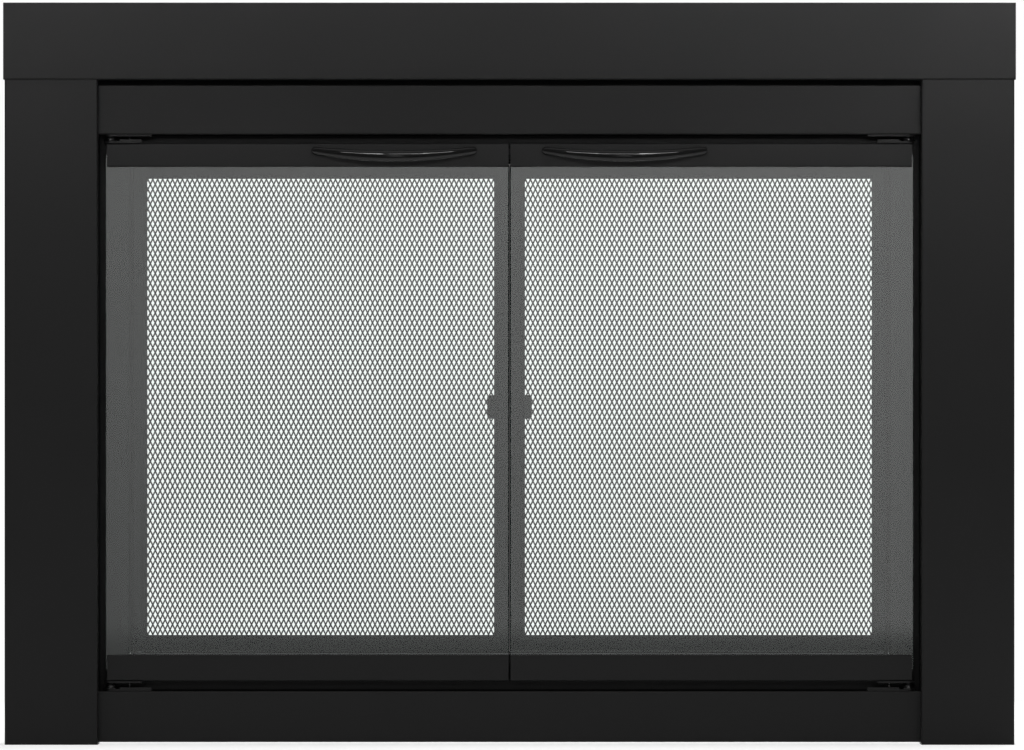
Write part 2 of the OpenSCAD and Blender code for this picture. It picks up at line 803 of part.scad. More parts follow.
module door_top_rail(side) {
    low = door_top_z - top_rail_h;
    path = [[door_back_y, door_top_z], [door_y, door_top_z], [door_y, low],
            [door_y + lip_l, low]];
    color(satin_black) placed(side) difference() {
        along_x(-rail_out_x, -door_in_x) polygon(folded(path));
        at_handle_screws() drill();
        at_hinge_plate_screws(door_top_z) drill(flush_screw[0] + hole_fit);
        translate([-pivot_x, pivot_y, door_top_z]) drill(pivot_r + hole_fit);
    }
}

module door_bottom_rail(side) {
    top = door_z + bottom_rail_h;
    path = [[door_y + lip_l, top], [door_y, top], [door_y, door_z], [door_back_y, door_z]];
    color(satin_black) placed(side) difference() {
        along_x(-rail_out_x, -door_in_x) polygon(folded(path));
        at_hinge_plate_screws(door_z) drill(flush_screw[0] + hole_fit);
        translate([-pivot_x, pivot_y, door_z]) drill(pivot_r + still_bolt_room);
    }
}

module door_glass(side)
    color(tinted_glass) placed(side)
        box([-glass_out_x, glass_y, glass_z], [-door_in_x, glass_y + glass_t, glass_top_z]);

// A flat strip inside both rails, from y0 to y1, over the heights that each range gives
module rail_strips(y0, y1, heights)
    for (z = heights)
        box([-rail_out_x + strip_end, y0, z[0]], [-door_in_x - strip_end, y1, z[1]]);

module door_gaskets(side) {
    heights = [[door_top_z - top_rail_h + strip_edge, glass_top_z],
               [glass_z, door_z + bottom_rail_h - strip_edge]];
    color(rope_grey) placed(side)
        for (y = [door_y + sheet_t, glass_y + glass_t]) rail_strips(y, y + gasket_t, heights);
}

module door_clamp_strips(side) {
    heights = [[door_top_z - top_rail_h + strip_edge, door_top_z - sheet_t - end_gap],
               [door_z + sheet_t + end_gap, door_z + bottom_rail_h - strip_edge]];
    color(satin_black) placed(side) difference() {
        rail_strips(clamp_y, door_back_y, heights);
        at_all_clamp_screws() drill();
    }
}

module door_clamp_screws(side)
    color(zinc) placed(side)
        at_all_clamp_screws() screw(sheet_screw, door_back_y - door_y - sheet_t);

// Height of the handle's edge at a distance x from its middle
function handle_edge(x, mid, end) = mid + (end - mid) * pow(x / (handle_l - handle_end_h) * 2, 2);

module handle_outline() {
    r = handle_end_h / 2;
    a = handle_l / 2 - r;
    mid_top = r - handle_sag;
    xs = [for (i = [1 : outline_steps - 1]) a * (2 * i / outline_steps - 1)];
    polygon(concat(
        arc([-a, 0], r, 90, 270, round_end_steps),
        [for (x = xs) [x, handle_edge(x, mid_top - handle_mid_h, -r)]],
        arc([a, 0], r, -90, 90, round_end_steps),
        [for (x = reversed(xs)) [x, handle_edge(x, mid_top, r)]]
    ));
}

// A bow pull: a flat bar bent forward in plan, with a drooping crescent face and two feet
module door_handle(side) {
    rise = handle_out - handle_t;
    outer_r = (pow(handle_l / 2, 2) + pow(rise, 2)) / (2 * rise);
    inner_r = outer_r - handle_t;
    centre_y = door_y - handle_out + outer_r;
    foot_y = centre_y - sqrt(pow(inner_r, 2) - pow(handle_foot_x, 2));
    color(gloss_black) placed(side) difference() {
        union() {
            intersection() {
                translate([-handle_x, 0, handle_z])
                    along_y(door_y - handle_out - cut_past, door_y) handle_outline();
                translate([-handle_x, centre_y, handle_z - handle_mid_h * 2])
                    difference() {
                        cylinder(r = outer_r, h = handle_mid_h * 3, $fn = 720);
                        translate([0, 0, -cut_past])
                            cylinder(r = inner_r, h = handle_mid_h * 3 + 2 * cut_past, $fn = 720);
                    }
            }
            for (k = [-1, 1])
                translate([-handle_x + k * handle_foot_x, door_y, handle_z]) rotate([90, 0, 0])
                    cylinder(r = handle_foot_r, h = door_y - foot_y + handle_t / 2);
        }
        at_handle_screws()
            drill(sheet_screw[0] + thread_fit, handle_screw_l() + blind_hole_end);
    }
}

// Length of the handle's screws, from the back of the rail into the bar
function handle_screw_l() = sheet_t + handle_foot_l + handle_t - handle_wall;

module door_handle_screws(side)
    color(zinc) placed(side) at_handle_screws() screw(sheet_screw, handle_screw_l());

module door_hinge_plates(side)
    color(satin_black) placed(side) difference() {
        union() {
            pivot_plate(door_top_z, door_plate_l, true, pivot_r + hole_fit);
            pivot_plate(door_z - plate_t, door_plate_l, false, pivot_r + pivot_fit);
        }
        at_hinge_plate_screws(door_top_z + plate_t) flush_head_hole(flush_screw);
        at_hinge_plate_screws(door_z - plate_t) head_down() flush_head_hole(flush_screw);
    }

module door_hinge_screws(side) {
    screw_l = plate_t + door_plate_screw_past;
    color(zinc) placed(side) {
        at_hinge_plate_screws(door_top_z + plate_t) flush_head_screw(flush_screw, screw_l);
        at_hinge_plate_screws(door_z - plate_t) head_down() flush_head_screw(flush_screw, screw_l);
    }
}

module door_pivot_bolt(side)
    color(zinc) placed(side)
        pivot_bolt(door_top_z - sheet_t, lintel_z + sheet_t + bolt_past);

module door_pivot_bush(side)
    color(gloss_black) placed(side)
        pivot_bush(door_top_z + plate_t, lintel_z - plate_t - thrust_gap);

// ---------------------------------------------------------------- mesh gates

// A block over the left gate from y0 to y1, drawn in from its edges, more so at the meeting
// side and the bottom
module gate_block(inset, y0, y1, extra = [0, 0])
    box([-gate_out_x + inset, y0, gate_z + inset + extra[1]],
        [-gate_in_x - inset - extra[0], y1, gate_top_z - inset]);

// The same with the slanted meeting side. Both gates slant the same way, so that they clear
// each other as either one swings, and hardly any light shows between them.
module gate_shell(side, inset, y0, y1) {
    lean = (gate_mid_gap - gate_sight_gap) / 2;
    function meet_x(y) =
        -gate_in_x - inset + (side == LEFT ? 1 : -1) * lean * (2 * (y - gate_y) / gate_t - 1);
    along_z(gate_z + inset, gate_top_z - inset)
        polygon([[-gate_out_x + inset, y0], [meet_x(y0), y0],
                 [meet_x(y1), y1], [-gate_out_x + inset, y1]]);
}

module at_gate_pins() {
    translate([-gate_axis_x, gate_axis_y, gate_top_z]) children();
    translate([-gate_axis_x, gate_axis_y, gate_z]) head_down() children();
}

// Pressed frame: a face, a rim turned back round it and a recessed ledge for the mesh
module gate_frame(side) {
    face_w = gate_side_w - ledge_w;
    extra = [gate_meet_w - gate_side_w, gate_bottom_w - gate_side_w];
    ledge_back_y = ledge_y + gate_sheet_t;
    color(matt_black) placed(side) difference() {
        union() {
            difference() {
                gate_shell(side, 0, gate_y, gate_rear_y);
                gate_shell(side, gate_sheet_t, gate_y + gate_sheet_t, gate_rear_y + cut_past);
                gate_block(face_w, gate_y - cut_past, gate_rear_y, extra);
            }
            difference() {
                gate_block(face_w - gate_sheet_t, gate_y, ledge_back_y, extra);
                gate_block(face_w, gate_y - cut_past, ledge_y, extra);
                gate_block(gate_side_w, ledge_y - cut_past, ledge_back_y + cut_past, extra);
            }
        }
        at_gate_pins() drill(gate_pin_r + thread_fit);
    }
}

// Expanded metal: staggered diamond openings, whole and half, inside a plain border
module gate_mesh(side) {
    x0 = -gate_out_x + gate_side_w;
    x1 = -gate_in_x - gate_meet_w;
    z0 = gate_z + gate_bottom_w;
    z1 = gate_top_z - gate_side_w;
    columns = round((x1 - x0) / (mesh_pitch * mesh_coarse));
    rows = round((z1 - z0) / (mesh_pitch * mesh_coarse * mesh_slope));
    cell = [(x1 - x0) / columns, (z1 - z0) / rows];
    reach = cell[0] * cell[1] / norm(cell) / 2;
    half = cell / 2 * (reach - strand_w / 2) / reach;
    border = ledge_w - end_gap;
    color(matt_black) placed(side) along_y(ledge_y - mesh_t, ledge_y) difference() {
        translate([x0 - border, z0 - border])
            square([x1 - x0 + 2 * border, z1 - z0 + 2 * border]);
        for (i = [0 : 2 * columns])
            for (j = [i % 2 : 2 : 2 * rows])
                diamond([x0 + i * cell[0] / 2, z0 + j * cell[1] / 2], half, [x0, z0], [x1, z1]);
    }
}

// A diamond round c, cut off at the low and high corners of the mesh's open area
module diamond(c, half, low, high)
    polygon([[max(c[0] - half[0], low[0]), c[1]], [c[0], max(c[1] - half[1], low[1])],
             [min(c[0] + half[0], high[0]), c[1]], [c[0], min(c[1] + half[1], high[1])]]);

// Bent sheet finger pull on the gate's free side
module gate_pull(side) {
    fold_x = -gate_in_x - gate_meet_w + pull_seat;
    tip_x = -gate_in_x - gate_meet_w - pull_reach;
    lip_y = gate_y - pull_step;
    mid_z = (gate_z + gate_bottom_w + gate_top_z - gate_side_w) / 2;
    r = pull_corner_r;
    top = pull_h / 2;
    path = [[fold_x + pull_base_w, gate_y], [fold_x, gate_y], [fold_x, lip_y], [tip_x, lip_y]];
    color(matt_black) placed(side) intersection() {
        along_z(mid_z - top, mid_z + top) polygon(folded(path, pull_t));
        translate([0, 0, mid_z]) along_y(lip_y - 2 * pull_t, gate_y + pull_t)
            polygon(concat(arc([tip_x + r, r - top], r, 270, 180, corner_steps),
                           arc([tip_x + r, top - r], r, 180, 90, corner_steps),
                           [[fold_x + 2 * pull_base_w, top], [fold_x + 2 * pull_base_w, -top]]));
    }
}

// Riveted pins: a head inside the gate's rim, a collar that bears on the stop, and a tip
module gate_pivots(side) {
    gaps = [gate_gap, gate_foot_gap];
    color(dark_steel) placed(side) for (k = [0, 1])
        translate([-gate_axis_x, gate_axis_y, k == 0 ? gate_top_z : gate_z])
            rotate([k * 180, 0, 0]) {
                translate([0, 0, -gate_sheet_t - gate_pin_head[1]])
                    cylinder(r = gate_pin_head[0], h = gate_pin_head[1]);
                translate([0, 0, -gate_sheet_t - gate_pin_head[1] / 2])
                    cylinder(r = gate_pin_r,
                             h = gate_sheet_t + gate_pin_head[1] / 2
                                 + gaps[k] + sheet_t + gate_pin_past);
                cylinder(r = gate_pin_collar_r, h = gaps[k] - thrust_gap);
            }
}

// ---------------------------------------------------------------- the object

header();
post(LEFT);  // left_post
post(RIGHT);  // right_post
lintel_panel();
sill_panel();
side_stop(LEFT);  // left_side_stop
side_stop(RIGHT);  // right_side_stop
top_stop();
bottom_stop();
post_bracket(LEFT);  // left_post_bracket
post_bracket(RIGHT);  // right_post_bracket
frame_screws();
top_pivot_bracket(LEFT);  // left_top_pivot_bracket
top_pivot_bracket(RIGHT);  // right_top_pivot_bracket
bottom_pivot_bracket(LEFT);  // left_bottom_pivot_bracket
bottom_pivot_bracket(RIGHT);  // right_bottom_pivot_bracket
pivot_bracket_screws();
lower_pivot_bolts();
lower_pivot_bushes();
magnet_catch();
catch_magnets();
lintel_clamp(LEFT);  // left_lintel_clamp
lintel_clamp(RIGHT);  // right_lintel_clamp
clamp_bolts();
clamp_nuts();
hearth_bracket(LEFT);  // left_hearth_bracket
hearth_bracket(RIGHT);  // right_hearth_bracket
bracket_screws();
door_top_rail(LEFT);  // left_door_top_rail
door_bottom_rail(LEFT);  // left_door_bottom_rail
door_glass(LEFT);  // left_door_glass
door_gaskets(LEFT);  // left_door_gaskets
door_clamp_strips(LEFT);  // left_door_clamp_strips
door_clamp_screws(LEFT);  // left_door_clamp_screws
door_handle(LEFT);  // left_door_handle
door_handle_screws(LEFT);  // left_door_handle_screws
door_hinge_plates(LEFT);  // left_door_hinge_plates
door_hinge_screws(LEFT);  // left_door_hinge_screws
door_pivot_bolt(LEFT);  // left_door_pivot_bolt
door_pivot_bush(LEFT);  // left_door_pivot_bush
door_top_rail(RIGHT);  // right_door_top_rail
door_bottom_rail(RIGHT);  // right_door_bottom_rail
door_glass(RIGHT);  // right_door_glass
door_gaskets(RIGHT);  // right_door_gaskets
door_clamp_strips(RIGHT);  // right_door_clamp_strips
door_clamp_screws(RIGHT);  // right_door_clamp_screws
door_handle(RIGHT);  // right_door_handle
door_handle_screws(RIGHT);  // right_door_handle_screws
door_hinge_plates(RIGHT);  // right_door_hinge_plates
door_hinge_screws(RIGHT);  // right_door_hinge_screws
door_pivot_bolt(RIGHT);  // right_door_pivot_bolt
door_pivot_bush(RIGHT);  // right_door_pivot_bush
gate_frame(LEFT);  // left_gate_frame
gate_mesh(LEFT);  // left_gate_mesh
gate_pull(LEFT);  // left_gate_pull
gate_pivots(LEFT);  // left_gate_pivots
gate_frame(RIGHT);  // right_gate_frame
gate_mesh(RIGHT);  // right_gate_mesh
gate_pull(RIGHT);  // right_gate_pull
gate_pivots(RIGHT);  // right_gate_pivots
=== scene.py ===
"""Looks of a cabinet-style fireplace glass door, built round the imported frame.

Lengths are metres. X runs to the right, Y into the fireplace and Z up, as in the frame.
"""

import json
import math

import bmesh
import bpy
from mathutils import Matrix, Vector


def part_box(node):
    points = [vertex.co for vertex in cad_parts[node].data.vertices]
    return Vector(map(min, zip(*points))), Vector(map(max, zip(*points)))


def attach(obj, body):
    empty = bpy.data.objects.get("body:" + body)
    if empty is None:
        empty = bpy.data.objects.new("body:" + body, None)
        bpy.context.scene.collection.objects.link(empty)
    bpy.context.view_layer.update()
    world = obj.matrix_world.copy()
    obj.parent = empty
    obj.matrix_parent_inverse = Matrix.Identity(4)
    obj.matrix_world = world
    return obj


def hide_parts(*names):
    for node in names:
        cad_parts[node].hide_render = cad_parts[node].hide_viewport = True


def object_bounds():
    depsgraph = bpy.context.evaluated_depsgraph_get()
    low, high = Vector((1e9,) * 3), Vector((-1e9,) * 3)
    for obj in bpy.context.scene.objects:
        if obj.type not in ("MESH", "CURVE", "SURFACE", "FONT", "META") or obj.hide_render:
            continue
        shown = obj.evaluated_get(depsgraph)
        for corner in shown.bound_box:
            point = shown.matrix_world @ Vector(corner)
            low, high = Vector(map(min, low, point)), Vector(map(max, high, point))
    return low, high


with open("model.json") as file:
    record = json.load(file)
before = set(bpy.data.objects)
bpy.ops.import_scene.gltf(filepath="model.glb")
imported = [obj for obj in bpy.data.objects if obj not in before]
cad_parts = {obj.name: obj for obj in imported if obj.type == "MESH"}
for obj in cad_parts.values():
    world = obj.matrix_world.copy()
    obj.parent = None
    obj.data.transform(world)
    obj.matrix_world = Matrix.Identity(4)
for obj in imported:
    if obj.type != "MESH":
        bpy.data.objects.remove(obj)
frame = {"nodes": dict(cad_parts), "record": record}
cad_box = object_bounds()

MM = 0.001
SIDES = ("left", "right")
WELD = 0.002 * MM        # points closer than this are one
FLAT_ANGLE = 0.4         # degrees between faces that are one flat area
SHARP_ANGLE = 30         # degrees from which an edge gets rounded


# ---------------------------------------------------------------- shader nodes

def add_node(owner, kind, **settings):
    """A node of a material or world; each setting is one of its properties or inputs."""
    node = owner.node_tree.nodes.new(kind)
    for name, value in settings.items():
        if hasattr(node, name):
            setattr(node, name, value)
        else:
            node.inputs[name.replace("_", " ")].default_value = value
    return node


def link(owner, out_socket, in_socket):
    owner.node_tree.links.new(out_socket, in_socket)


def calculate(owner, operation, *values):
    """The result of a math node; each value is a number or another node's output."""
    node = add_node(owner, "ShaderNodeMath", operation=operation)
    for socket, value in zip(node.inputs, values):
        if isinstance(value, float):
            socket.default_value = value
        else:
            link(owner, value, socket)
    return node.outputs[0]


def map_range(owner, value, source, target, kind="LINEAR"):
    """Maps a value from one range to another, and keeps it inside that."""
    node = add_node(owner, "ShaderNodeMapRange", interpolation_type=kind)
    for name, number in zip(("From Min", "From Max", "To Min", "To Max"), source + target):
        node.inputs[name].default_value = number
    link(owner, value, node.inputs["Value"])
    return node.outputs["Result"]


def mix_shaders(owner, factor, first, second):
    node = add_node(owner, "ShaderNodeMixShader")
    for socket, output in zip(node.inputs, (factor, first.outputs[0], second.outputs[0])):
        link(owner, output, socket)
    return node


# ---------------------------------------------------------------- materials

NOISE_MIDDLE = (0.3, 0.7)   # most of a noise lies in this range


def new_material(name, **values):
    """A Principled material; each value is set on the socket of that name."""
    material = bpy.data.materials.new(name)
    material.use_nodes = True
    shader = shader_of(material)
    for socket, value in values.items():
        shader.inputs[socket.replace("_", " ")].default_value = value
    return material


def shader_of(material):
    return material.node_tree.nodes["Principled BSDF"]


def place_of(material):
    """The surface's place in metres, which doesn't depend on the mesh."""
    return add_node(material, "ShaderNodeTexCoord").outputs["Object"]


def noise(material, scale, detail):
    """Noise whose features are about 1 / scale metres across."""
    node = add_node(material, "ShaderNodeTexNoise", Scale=scale, Detail=detail)
    link(material, place_of(material), node.inputs["Vector"])
    return node.outputs["Fac"]


def tint(material, factor, dark, light):
    """Base colour between two colours, by a factor."""
    node = add_node(material, "ShaderNodeMix", data_type="RGBA")
    sockets = {socket.identifier: socket for socket in (*node.inputs, *node.outputs)}
    sockets["A_Color"].default_value = (*dark, 1)
    sockets["B_Color"].default_value = (*light, 1)
    link(material, factor, node.inputs["Factor"])
    link(material, sockets["Result_Color"], shader_of(material).inputs["Base Color"])


def add_bump(material, height, distance, strength):
    node = add_node(material, "ShaderNodeBump", Strength=strength, Distance=distance)
    link(material, height, node.inputs["Height"])
    link(material, node.outputs["Normal"], shader_of(material).inputs["Normal"])


def surface(name, drift, dark, light, roughness, bump=None, relief=None, **values):
    """A material whose colour and roughness drift with a noise.

    drift and relief are the scale and detail of a noise. bump is the distance and strength
    of the relief, which is the drift's own noise if it has none of its own.
    """
    material = new_material(name, **values)
    factor = noise(material, *drift)
    tint(material, factor, dark, light)
    link(material, map_range(material, factor, NOISE_MIDDLE, roughness),
         shader_of(material).inputs["Roughness"])
    if bump:
        add_bump(material, noise(material, *relief) if relief else factor, *bump)
    return material


def grey(level):
    return (level,) * 3


def powder_coat():
    """Satin powder coat with a faint orange peel."""
    return surface("black_powder_coat", drift=(9, 2), dark=grey(0.00744), light=grey(0.00856),
                   roughness=(0.39, 0.45), bump=(0.03 * MM, 0.6), relief=(620, 3),
                   Specular_IOR_Level=0.13)


def gloss_enamel():
    return surface("gloss_black_enamel", drift=(14, 2), dark=grey(0.0035), light=grey(0.0055),
                   roughness=(0.07, 0.12), bump=(0.02 * MM, 0.35), relief=(260, 2),
                   Specular_IOR_Level=0.2, Coat_Weight=0.15, Coat_Roughness=0.03)


def heat_proof_paint():
    """Matt black spray paint with a fine dry grain."""
    return surface("matt_black_paint", drift=(400, 3), dark=grey(0.006), light=grey(0.011),
                   roughness=(0.5, 0.65), bump=(0.05 * MM, 0.5), Specular_IOR_Level=0.12)


def slit_shade_plastic():
    """Black plastic with a fine moulded grain, dark as painted shade in the slit between the
    rails.
    """
    return surface("slit_shade_plastic", drift=(1500, 2), dark=grey(0.008), light=grey(0.013),
                   roughness=(0.5, 0.62), bump=(0.03 * MM, 0.5), Specular_IOR_Level=0.2)


def clear_glass():
    return new_material("clear_glass", Base_Color=(0.93, 0.975, 0.955, 1), Roughness=0.0,
                        IOR=1.5, Transmission_Weight=1.0)


def glass_edge():
    """Ground and polished edge, which gathers light from inside the pane."""
    return surface("glass_edge", drift=(60, 2), dark=(0.012, 0.022, 0.018),
                   light=(0.022, 0.036, 0.030), roughness=(0.15, 0.3), IOR=1.5,
                   Transmission_Weight=0.1)


def zinc_plate():
    return surface("zinc_plate", drift=(120, 4), dark=(0.44, 0.45, 0.47),
                   light=(0.60, 0.61, 0.63), roughness=(0.28, 0.46), bump=(0.02 * MM, 0.5),
                   relief=(900, 2), Metallic=1.0)


def dark_steel():
    return surface("phosphated_steel", drift=(200, 3), dark=(0.05, 0.05, 0.053),
                   light=(0.09, 0.09, 0.093), roughness=(0.35, 0.5), Metallic=1.0)


def ferrite():
    return surface("ferrite", drift=(300, 4), dark=(0.035, 0.035, 0.04),
                   light=(0.07, 0.07, 0.078), roughness=(0.45, 0.7), Specular_IOR_Level=0.4)


def woven_tape():
    """Glass-fibre tape: two crossed sets of threads."""
    material = new_material("woven_tape", Specular_IOR_Level=0.2, Roughness=0.85)
    threads = []
    for direction in ("X", "Z"):
        wave = add_node(material, "ShaderNodeTexWave", bands_direction=direction, Scale=320,
                        Distortion=0.6)
        link(material, place_of(material), wave.inputs["Vector"])
        threads.append(wave.outputs["Fac"])
    crossing = calculate(material, "MAXIMUM", *threads)
    tint(material, crossing, (0.20, 0.20, 0.19), (0.42, 0.42, 0.40))
    add_bump(material, crossing, distance=0.25 * MM, strength=1.0)
    return material


GLASS_EDGE = glass_edge()
SLOT_MATERIALS = {
    "black_sheet": powder_coat(),
    "gloss_black": gloss_enamel(),
    "matt_black": heat_proof_paint(),
    "door_glass": clear_glass(),
    "gasket": woven_tape(),
    "zinc_steel": zinc_plate(),
    "dark_pin": dark_steel(),
    "magnet": ferrite(),
}
# These two are dark as painted shade, since they show through the shaded slit between the doors'
# rails.
SLIT_SHADE_MATERIALS = {
    "magnet_catch": slit_shade_plastic(),
    "bracket_screws": SLOT_MATERIALS["dark_pin"],
}
SLOT_OF = {part["node"]: part["material_slot"] for part in frame["record"]["subparts"]}
BODY_OF = {node: body for body, nodes in frame["record"]["behaviour"]["bodies"].items()
           for node in nodes}


def material_of(node):
    """A node's own material, which is dark as painted shade for the slit, or else that of its
    slot.
    """
    return SLIT_SHADE_MATERIALS.get(node, SLOT_MATERIALS[SLOT_OF[node]])


def paint_frame():
    for name, node in frame["nodes"].items():
        node.data.materials.clear()
        node.data.materials.append(material_of(name))


# ---------------------------------------------------------------- mesh helpers

def stand_for(node, form, second_material=None):
    """The form takes the place of a CAD node, rides on its body and shares its slot."""
    mesh = bpy.data.meshes.new(node + "_form")
    form.to_mesh(mesh)
    form.free()
    mesh.validate()
    mesh.polygons.foreach_set("use_smooth", [True] * len(mesh.polygons))
    mesh.materials.append(material_of(node))
    if second_material:
        mesh.materials.append(second_material)
    piece = bpy.data.objects.new(node + "_form", mesh)
    piece.modifiers.new("flat_faces_stay_flat", "WEIGHTED_NORMAL")
    bpy.context.scene.collection.objects.link(piece)
    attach(piece, BODY_OF[node])
    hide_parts(node)


def form_of(shapes):
    """One mesh from a list of (verts, faces)."""
    form = bmesh.new()
    for verts, faces in shapes:
        points = [form.verts.new(v) for v in verts]
        for face in faces:
            form.faces.new([points[i] for i in face])
    form.normal_update()
    return form


def welded(node):
    """A copy of a node's mesh with its seams closed and each flat area one face."""
    form = bmesh.new()
    form.from_mesh(frame["nodes"][node].data)
    bmesh.ops.remove_doubles(form, verts=form.verts, dist=WELD)
    bmesh.ops.dissolve_limit(form, angle_limit=math.radians(FLAT_ANGLE), verts=form.verts,
                             edges=form.edges)
    return form


def round_edges(form, radius, steps=2, where=None):
    """Rounds the sharp edges, or those of them that where() picks."""
    sharp = [edge for edge in form.edges
             if edge.is_manifold and edge.calc_face_angle() > math.radians(SHARP_ANGLE)
             and (where is None or where(edge))]
    bmesh.ops.bevel(form, geom=sharp, offset=radius, offset_type="OFFSET", segments=steps,
                    profile=0.5, affect="EDGES", clamp_overlap=False)


def loose_parts(form):
    """The points of each separate solid in a mesh, which is freed."""
    seen, parts = set(), []
    for start in form.verts:
        if start in seen:
            continue
        seen.add(start)
        part, queue = [], [start]
        while queue:
            vert = queue.pop()
            part.append(vert.co.copy())
            for edge in vert.link_edges:
                other = edge.other_vert(vert)
                if other not in seen:
                    seen.add(other)
                    queue.append(other)
        parts.append(part)
    form.free()
    return parts


def bands_between(rings, steps, joined=False):
    """Faces between rings of points that follow each other, also last to first if joined."""
    faces = []
    for band in range(rings if joined else rings - 1):
        here, there = band * steps, (band + 1) % rings * steps
        for k in range(steps):
            after = (k + 1) % steps
            faces.append((here + k, there + k, there + after, here + after))
    return faces


def turned(rows, steps, radius_at=None, ends="closed"):
    """A turned form from rows of (radius, height), the top row first.

    radius_at(radius, height, angle) may change the radius round the form. The ends are
    closed, or the top is open, or the last row joins the first in a ring.
    """
    verts = []
    for radius, height in rows:
        for k in range(steps):
            angle = 2 * math.pi * k / steps
            reach = radius_at(radius, height, angle) if radius_at else radius
            verts.append(Vector((reach * math.cos(angle), reach * math.sin(angle), height)))
    faces = bands_between(len(rows), steps, joined=ends == "ring")
    if ends == "closed":
        faces.append(tuple(range(steps)))
    if ends != "ring":
        last = (len(rows) - 1) * steps
        faces.append(tuple(reversed(range(last, last + steps))))
    return verts, faces


def placed(shape, matrix):
    """A shape moved and turned by a matrix."""
    verts, faces = shape
    return [matrix @ v for v in verts], faces


# ---------------------------------------------------------------- sheets, plates and pins

EDGE_RADII = {            # by the last word of a node's name, in millimetres
    "header": 0.2, "post": 0.2, "panel": 0.2, "stop": 0.2, "rail": 0.2, "strips": 0.2,
    "gaskets": 0.3, "bracket": 0.35, "plates": 0.35, "clamp": 0.4, "bolt": 0.3,
    "bolts": 0.3, "bush": 0.25, "bushes": 0.25, "catch": 0.5, "magnets": 0.4, "pull": 0.25,
    "pivots": 0.25,
}


def make_softened():
    """Each of these stands in its own shape, with its edges rounded as paint rounds them."""
    for node in frame["nodes"]:
        kind = node.rsplit("_", 1)[-1]
        if kind in EDGE_RADII and node != "clamp_bolts":
            form = welded(node)
            round_edges(form, EDGE_RADII[kind] * MM)
            stand_for(node, form)


GATE_BEND = 0.9 * MM     # outer radius of a gate frame's pressed front edge
GATE_BEND_STEPS = 4
GATE_CUT = 0.15 * MM     # how far its other edges are rounded
GATE_MEETING = 0.8 * MM  # the meeting sides lie nearer to the middle than this
GATE_COAT = 0.045 * MM   # paint on the meeting sides, which narrows the slit between them


def make_gate_frames():
    for side in SIDES:
        node = side + "_gate_frame"
        low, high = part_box(node)

        def on_front_rim(edge):
            middle = (edge.verts[0].co + edge.verts[1].co) / 2
            rim = min(middle.x - low.x, high.x - middle.x, middle.z - low.z, high.z - middle.z)
            if abs(middle.x) < GATE_MEETING:
                return False
            return max(vert.co.y for vert in edge.verts) < low.y + GATE_CUT and rim < GATE_BEND

        form = welded(node)
        round_edges(form, GATE_BEND, GATE_BEND_STEPS, on_front_rim)
        round_edges(form, GATE_CUT, steps=1)
        for vert in form.verts:
            if abs(vert.co.x) < GATE_MEETING:
                vert.co.x -= math.copysign(GATE_COAT, vert.co.x)
        stand_for(node, form)


GLASS_ARRIS = 0.35 * MM
GLASS_FACE_TURN = 0.99   # a pane's faces point front or back by more than this


def make_glass():
    """Each pane has polished, rounded edges, which look greener than its faces."""
    for side in SIDES:
        node = side + "_door_glass"
        form = welded(node)
        round_edges(form, GLASS_ARRIS, steps=3)
        form.normal_update()
        for face in form.faces:
            face.material_index = 0 if abs(face.normal.y) > GLASS_FACE_TURN else 1
        stand_for(node, form, GLASS_EDGE)


# ---------------------------------------------------------------- screws

SCREW_STEPS = 18                 # points round a screw
SCREW_PITCH = 1.4 * MM
SCREW_THREAD = 0.2               # depth of its thread, of the shank's radius
THREAD_ROWS = 5                  # rows of points in one turn of a thread
TIP = 1.6 * MM                   # length of a tapered tip
TIP_TAPER = ((0.75, 0.4), (0.3, 0))   # radii, of the shank's, and heights, of the tip's
ALIKE = 0.02                     # radii that differ less than this share are the same

# Shares of a head's radius or height:
FLUSH_EDGE = (0.96, 0.08)        # a countersunk head's top radius, and where it is full
FLUSH_TAPER = 0.9                # what its lower half is narrower than
PAN_DOME = (38, 55, 72, 90)      # rows of a pan head's dome, in degrees from its top
PAN_DOME_HEIGHT = 0.6
PAN_EDGE = (0.95, 0.92)          # a pan head's bottom radius, and where it is still full
RECESS_REACH = 0.5
RECESS_HALF_WIDTH = 0.12
RECESS_DEPTH = 0.7
RECESS_FLOOR = 0.6               # size of the recess's floor, of its mouth


def measure(points):
    """Where a turned solid sits and its sizes, from its points.

    Gives the matrix that puts a shape there whose head is up at height 0, the radii of head
    and shank, the head's height, the whole length and whether the head is countersunk.
    """
    low = Vector([min(p[i] for p in points) for i in range(3)])
    high = Vector([max(p[i] for p in points) for i in range(3)])
    size, middle = high - low, (low + high) / 2
    axis = min(range(3), key=lambda i: abs(size[(i + 1) % 3] - size[(i + 2) % 3]))
    rings = []
    for point in points:
        across = point - middle
        across[axis] = 0
        rings.append((point[axis], across.length))
    wide = max(radius for _, radius in rings)
    narrow = min(radius for _, radius in rings)
    # The head ends in a ring as wide as any, and the shank starts at the first narrow ring.
    head_up = max(r for t, r in rings if t > high[axis] - WELD) > wide * (1 - ALIKE)
    end = high[axis] if head_up else low[axis]
    head_h = min(abs(t - end) for t, r in rings if r < narrow * (1 + ALIKE))
    below = [r for t, r in rings if abs(t - end) > head_h / 2]
    countersunk = max(below) < wide * FLUSH_TAPER
    outward = Vector((0, 0, 0))
    outward[axis] = 1 if head_up else -1
    top = middle.copy()
    top[axis] = end
    place = Matrix.Translation(top) @ outward.to_track_quat("Z", "Y").to_matrix().to_4x4()
    return place, wide, narrow, head_h, size[axis], countersunk


def threaded(pitch, depth, top):
    """For turned(): a helical groove below the height top."""
    def radius_at(radius, height, angle):
        if height > top:
            return radius
        turn = (height / pitch - angle / (2 * math.pi)) % 1
        return radius - depth * abs(2 * turn - 1)
    return radius_at


